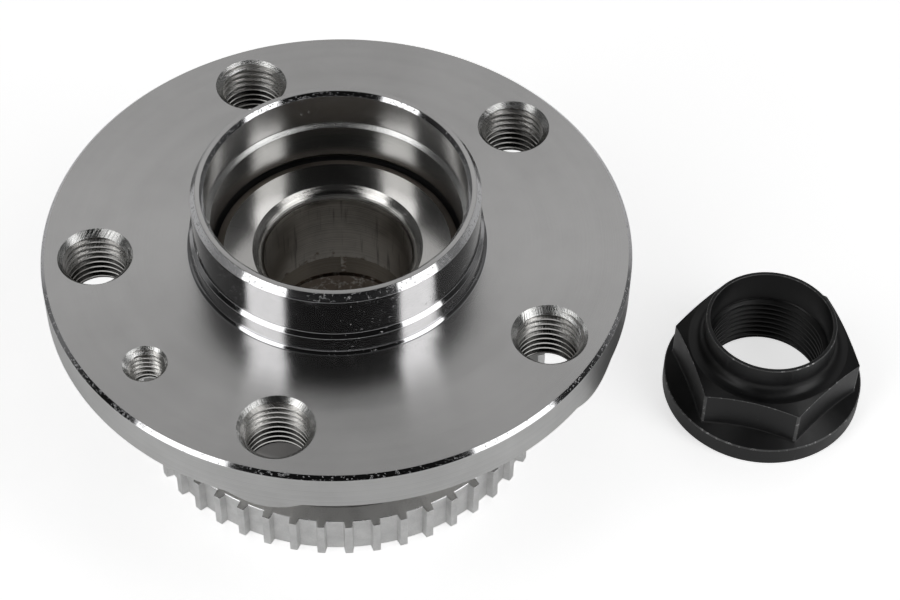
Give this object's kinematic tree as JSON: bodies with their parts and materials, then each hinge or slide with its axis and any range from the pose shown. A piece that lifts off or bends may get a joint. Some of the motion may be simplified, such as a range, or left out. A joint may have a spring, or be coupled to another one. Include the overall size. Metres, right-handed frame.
{
  "type": "wheel hub bearing",
  "caption": "Wheel hub on a sealed double-row ball bearing, with a threaded flange, a spigot, a toothed ring for the speed sensor and its loose spindle nut.",
  "frame": {"origin": "centre of the flange's wheel-mounting face, on the axis of rotation", "axes": "+Z along the axis of rotation, outboard, away from the car; +X towards the loose spindle nut"},
  "size_m": [0.1733, 0.12, 0.0642],
  "materials": {
    "hub_steel": "turned",
    "bearing_steel": "ground",
    "ball_steel": "polished",
    "cage_polymer": "moulded",
    "seal_steel": "pressed",
    "seal_rubber": "moulded",
    "clip_steel": "rolled",
    "retaining_steel": "phosphated",
    "tone_ring_steel": "sintered, zinc plated",
    "nut_phosphate": "black phosphate"
  },
  "bodies": {
    "inner_race": {"inner_ring_outboard": "bearing_steel", "inner_ring_inboard": "bearing_steel", "inner_ring_clip": "clip_steel", "seal_inboard_slinger": "seal_steel"},
    "hub": {"hub_flange": "hub_steel", "bearing_outer_ring": "bearing_steel", "retaining_ring": "retaining_steel", "tone_ring": "tone_ring_steel", "seal_outboard_case": "seal_steel", "seal_outboard_lip": "seal_rubber", "seal_inboard_case": "seal_steel", "seal_inboard_lip": "seal_rubber"},
    "balls_outboard": {"cage_outboard": "cage_polymer", "ball_outboard_01": "ball_steel", "ball_outboard_02": "ball_steel", "ball_outboard_03": "ball_steel", "ball_outboard_04": "ball_steel", "ball_outboard_05": "ball_steel", "ball_outboard_06": "ball_steel", "ball_outboard_07": "ball_steel", "ball_outboard_08": "ball_steel", "ball_outboard_09": "ball_steel", "ball_outboard_10": "ball_steel", "ball_outboard_11": "ball_steel", "ball_outboard_12": "ball_steel", "ball_outboard_13": "ball_steel", "ball_outboard_14": "ball_steel"},
    "balls_inboard": {"cage_inboard": "cage_polymer", "ball_inboard_01": "ball_steel", "ball_inboard_02": "ball_steel", "ball_inboard_03": "ball_steel", "ball_inboard_04": "ball_steel", "ball_inboard_05": "ball_steel", "ball_inboard_06": "ball_steel", "ball_inboard_07": "ball_steel", "ball_inboard_08": "ball_steel", "ball_inboard_09": "ball_steel", "ball_inboard_10": "ball_steel", "ball_inboard_11": "ball_steel", "ball_inboard_12": "ball_steel", "ball_inboard_13": "ball_steel", "ball_inboard_14": "ball_steel"},
    "nut": {"spindle_nut": "nut_phosphate"}
  },
  "joints": [
    {"name": "hub_spin", "type": "hinge", "parent": "inner_race", "child": "hub", "pos_m": [0, 0, 0], "axis": [0, 0, 1], "continuous": true},
    {"name": "balls_outboard_orbit", "type": "hinge", "parent": "inner_race", "child": "balls_outboard", "pos_m": [0, 0, -0.0165], "axis": [0, 0, 1], "continuous": true},
    {"name": "balls_inboard_orbit", "type": "hinge", "parent": "inner_race", "child": "balls_inboard", "pos_m": [0, 0, -0.034], "axis": [0, 0, 1], "continuous": true},
    {"name": "nut_lift", "type": "slide", "parent": "inner_race", "child": "nut", "axis": [0, 0, 1], "range_m": [0, 0.05]}
  ],
  "couplings": [
    {"joint": "balls_outboard_orbit", "follows": "hub_spin", "ratio": 0.56949},
    {"joint": "balls_inboard_orbit", "follows": "hub_spin", "ratio": 0.56949}
  ]
}
